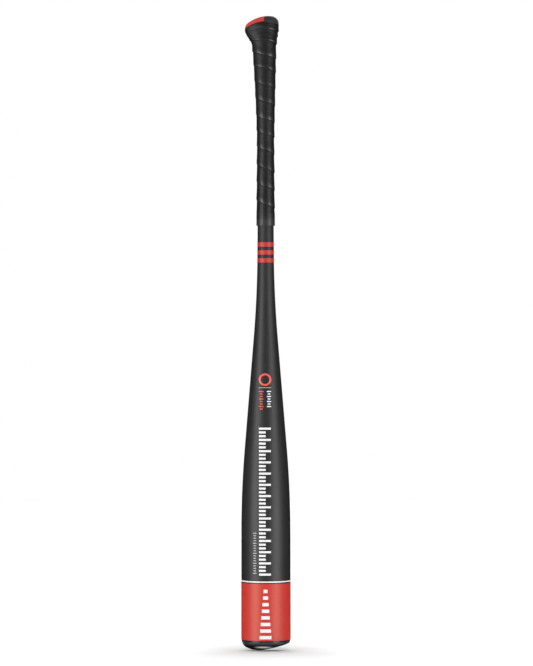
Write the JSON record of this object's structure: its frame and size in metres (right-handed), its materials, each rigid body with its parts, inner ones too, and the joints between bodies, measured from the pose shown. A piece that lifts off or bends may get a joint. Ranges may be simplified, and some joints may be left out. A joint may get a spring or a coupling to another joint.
{
  "type": "weighted training bat",
  "caption": "Handle-weighted swing-speed training bat: hollow alloy barrel and handle, slanted domed end cap, wound grip and an angled oval knob with a two-tone end.",
  "frame": {"origin": "on the bat's axis, at the height of the lowest point of the end cap", "axes": "+Z along the bat's axis from the end cap to the knob; the knob's heel points to -X and the end cap's slanted face rises towards +X"},
  "size_m": [0.0654, 0.0654, 0.8382],
  "materials": {
    "charcoal_shell": "charcoal satin lacquer over drawn alloy",
    "red_film": "satin red film",
    "white_film": "satin white film",
    "gloss_black_cap": "moulded, high gloss",
    "bond_elastomer": "cured bead",
    "weight_steel": "turned steel",
    "bung_rubber": "moulded",
    "plug_nylon": "natural nylon",
    "sleeve_elastomer": "moulded",
    "knob_black": "moulded, fine texture",
    "heel_cap_red": "moulded, satin",
    "grip_tape": "cushioned polymer tape, fine pores",
    "finishing_tape": "smooth vinyl tape"
  },
  "bodies": {
    "root": {"bat_shell": "charcoal_shell", "barrel_wrap": "red_film", "barrel_pinstripe": "white_film", "handle_stripe_lower": "red_film", "handle_stripe_middle": "red_film", "handle_stripe_upper": "red_film", "end_cap": "gloss_black_cap", "end_cap_bond_ring": "bond_elastomer", "handle_weight": "weight_steel", "weight_bung_lower": "bung_rubber", "weight_bung_upper": "bung_rubber", "handle_plug": "plug_nylon", "handle_taper_sleeve": "sleeve_elastomer", "knob": "knob_black", "knob_heel_cap": "heel_cap_red", "grip_wrap": "grip_tape", "grip_finishing_tape": "finishing_tape"}
  },
  "joints": []
}
